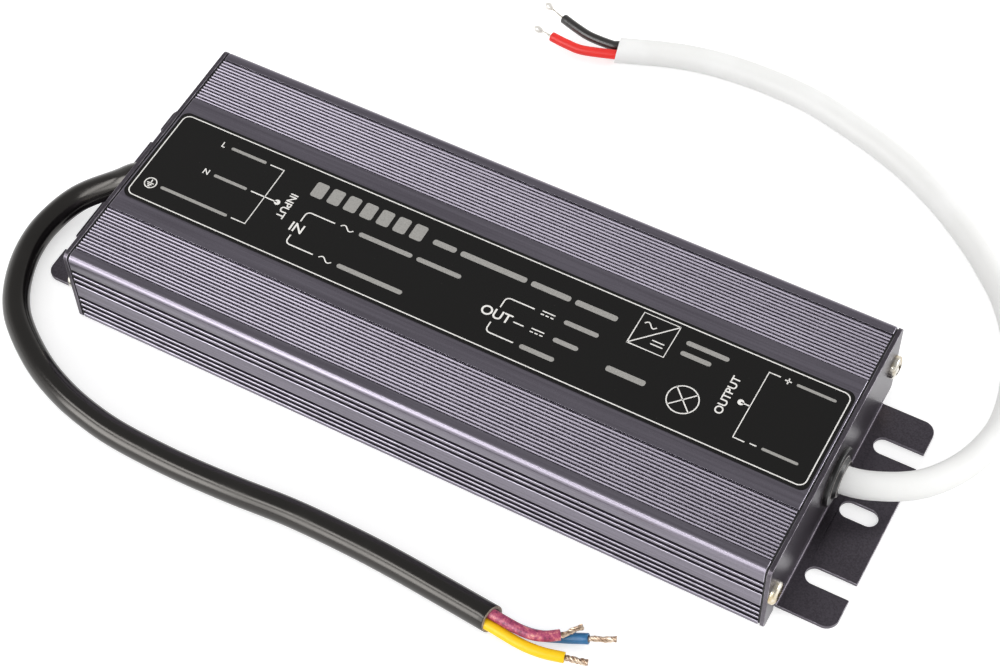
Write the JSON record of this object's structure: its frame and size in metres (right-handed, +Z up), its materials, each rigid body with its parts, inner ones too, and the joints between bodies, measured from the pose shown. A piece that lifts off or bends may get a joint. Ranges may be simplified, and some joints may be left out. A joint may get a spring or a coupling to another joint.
{
  "type": "led driver",
  "caption": "Slim weatherproof LED driver in a ridged aluminium tube with slotted end ears, a black mains lead and a white output lead.",
  "frame": {"origin": "middle of the underside, on the surface that the driver stands on", "axes": "+X along the tube towards the output lead, +Y across it towards the far side, +Z up out of the labelled face"},
  "size_m": [0.2307, 0.1716, 0.0242],
  "materials": {
    "anodised_tube": "satin",
    "plate_sheet": "satin",
    "black_rubber": "satin",
    "screw_metal": "satin",
    "label_film": "satin",
    "black_sheath": "satin",
    "white_sheath": "satin",
    "brown_core": "satin",
    "blue_core": "satin",
    "yellow_core": "satin",
    "red_core": "satin",
    "black_core": "satin",
    "tinned_strands": "satin",
    "clear_film": "matte",
    "board_laminate": "satin",
    "potting": "matte",
    "wire_sheath": "satin",
    "fuse_glass": "gloss",
    "coated_disc": "gloss",
    "yellow_box": "matte",
    "ferrite": "matte",
    "copper_wire": "satin",
    "black_moulding": "matte",
    "can_sleeve": "satin",
    "heat_metal": "satin",
    "thermal_pad": "matte",
    "winding_tape": "satin",
    "pale_moulding": "matte"
  },
  "bodies": {
    "root": {"housing": "anodised_tube", "input_end_plate": "plate_sheet", "output_end_plate": "plate_sheet", "input_gasket": "black_rubber", "output_gasket": "black_rubber", "end_screws": "screw_metal", "input_grommet": "black_rubber", "output_grommet": "black_rubber", "rating_label": "label_film", "input_cable": "black_sheath", "brown_core": "brown_core", "blue_core": "blue_core", "yellow_core": "yellow_core", "input_strands": "tinned_strands", "output_cable": "white_sheath", "red_core": "red_core", "black_core": "black_core", "output_strands": "tinned_strands", "insulating_film": "clear_film", "circuit_board": "board_laminate", "potting_compound": "potting", "input_wires": "wire_sheath", "output_wires": "wire_sheath", "fuse": "fuse_glass", "inrush_thermistor": "coated_disc", "surge_varistor": "coated_disc", "filter_capacitor": "yellow_box", "choke_core": "ferrite", "choke_windings": "copper_wire", "bridge_rectifier": "black_moulding", "storage_capacitors": "can_sleeve", "switching_transistors": "black_moulding", "primary_heat_block": "heat_metal", "primary_thermal_pad": "thermal_pad", "transformer_core": "ferrite", "transformer_winding": "winding_tape", "safety_capacitor": "coated_disc", "output_rectifiers": "black_moulding", "secondary_heat_block": "heat_metal", "secondary_thermal_pad": "thermal_pad", "inductor_core": "ferrite", "inductor_winding": "copper_wire", "output_capacitors": "can_sleeve", "controller_chip": "black_moulding", "optocoupler": "pale_moulding"}
  },
  "joints": []
}
